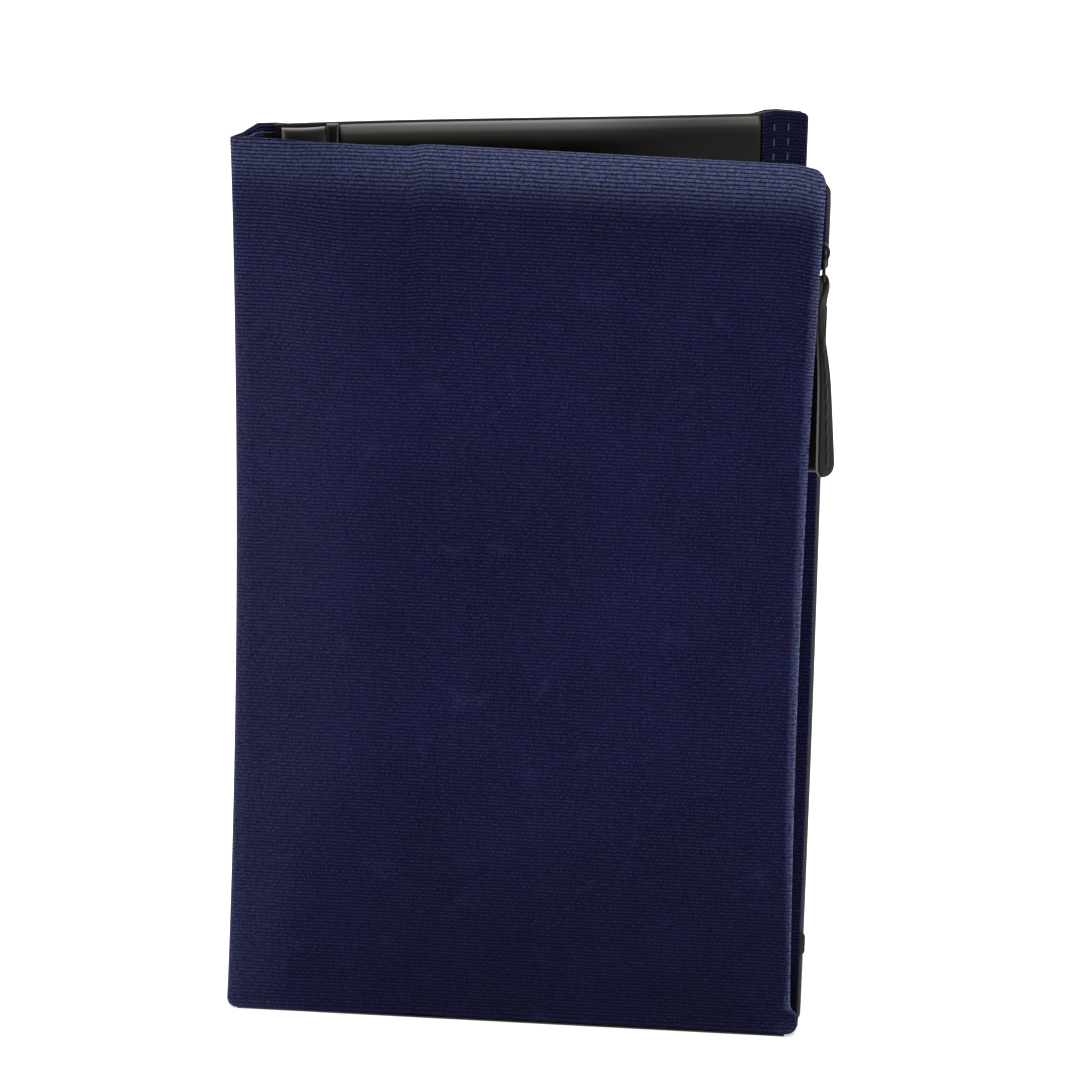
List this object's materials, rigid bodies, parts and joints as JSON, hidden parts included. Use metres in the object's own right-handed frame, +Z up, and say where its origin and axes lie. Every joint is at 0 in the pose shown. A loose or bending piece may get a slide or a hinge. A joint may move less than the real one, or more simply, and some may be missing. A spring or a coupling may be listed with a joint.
{
  "type": "travel document organizer",
  "caption": "Tall book-style travel organizer in ribbed navy canvas with a black leather interior, a side-zipped outer pocket with leather puller, and inner document, passport and card pockets.",
  "frame": {"origin": "bottom centre of the object's box, on the surface it stands on", "axes": "+Z up along the spine; the front cover is parallel to XZ and its outer face looks along -Y; +X runs from the spine to the fore edge"},
  "size_m": [0.1525, 0.0794, 0.23],
  "materials": {
    "canvas": "navy ribbed canvas with a coated, slightly worn surface",
    "leather": "black fine-grained leather, satin",
    "stiffener": "plain fibre board",
    "zip_tape": "woven navy tape",
    "zip_coil": "navy nylon coil",
    "metal": "dark gunmetal plating",
    "thread": "waxed thread"
  },
  "bodies": {
    "back_cover": {"back_canvas": "canvas", "back_board": "stiffener", "back_lining": "leather", "back_fore_edge_hem": "canvas", "document_pocket_panel": "leather", "document_pocket_side_welts": "leather", "document_pocket_foot_welt": "leather", "inner_edge_band": "leather", "pen_sleeve_panel": "leather", "pen_sleeve_welts": "leather"},
    "spine": {"spine_canvas": "canvas", "spine_stiffener": "stiffener", "spine_lining": "leather"},
    "front_cover": {"front_canvas_panel": "canvas", "zip_pocket_head_seam": "canvas", "zip_pocket_foot_seam": "canvas", "zip_pocket_spine_seam": "canvas", "front_base_panel": "canvas", "front_board": "stiffener", "front_lining": "leather", "passport_pocket_panel": "leather", "passport_pocket_side_welts": "leather", "passport_pocket_foot_welt": "leather", "card_slot_upper": "leather", "card_slot_middle": "leather", "card_slot_lower": "leather", "zip_tape_front": "zip_tape", "zip_tape_rear": "zip_tape", "zip_coil_front": "zip_coil", "zip_coil_rear": "zip_coil", "zip_top_stop": "metal", "zip_bottom_stop": "metal", "zip_end_tab": "leather"},
    "zip_slider": {"slider_body": "metal", "slider_bail": "metal"},
    "zip_puller": {"pull_link": "metal", "pull_leather": "leather", "pull_stitches": "thread"}
  },
  "joints": [
    {"name": "back_fold", "type": "hinge", "parent": "back_cover", "child": "spine", "pos_m": [-0.07162, -0.02212, 0], "axis": [0, 0, -1], "range_deg": [-24.5, 48.3]},
    {"name": "front_fold", "type": "hinge", "parent": "spine", "child": "front_cover", "pos_m": [-0.07665, -0.03837, 0], "axis": [0, 0, -1], "range_deg": [0, 107.2]},
    {"name": "zip_slide", "type": "slide", "parent": "front_cover", "child": "zip_slider", "axis": [0, 0, -1], "range_m": [0, 0.178]},
    {"name": "puller_swing", "type": "hinge", "parent": "zip_slider", "child": "zip_puller", "pos_m": [0.07145, -0.03447, 0.207], "axis": [0, -1, 0], "range_deg": [0, 160]}
  ]
}
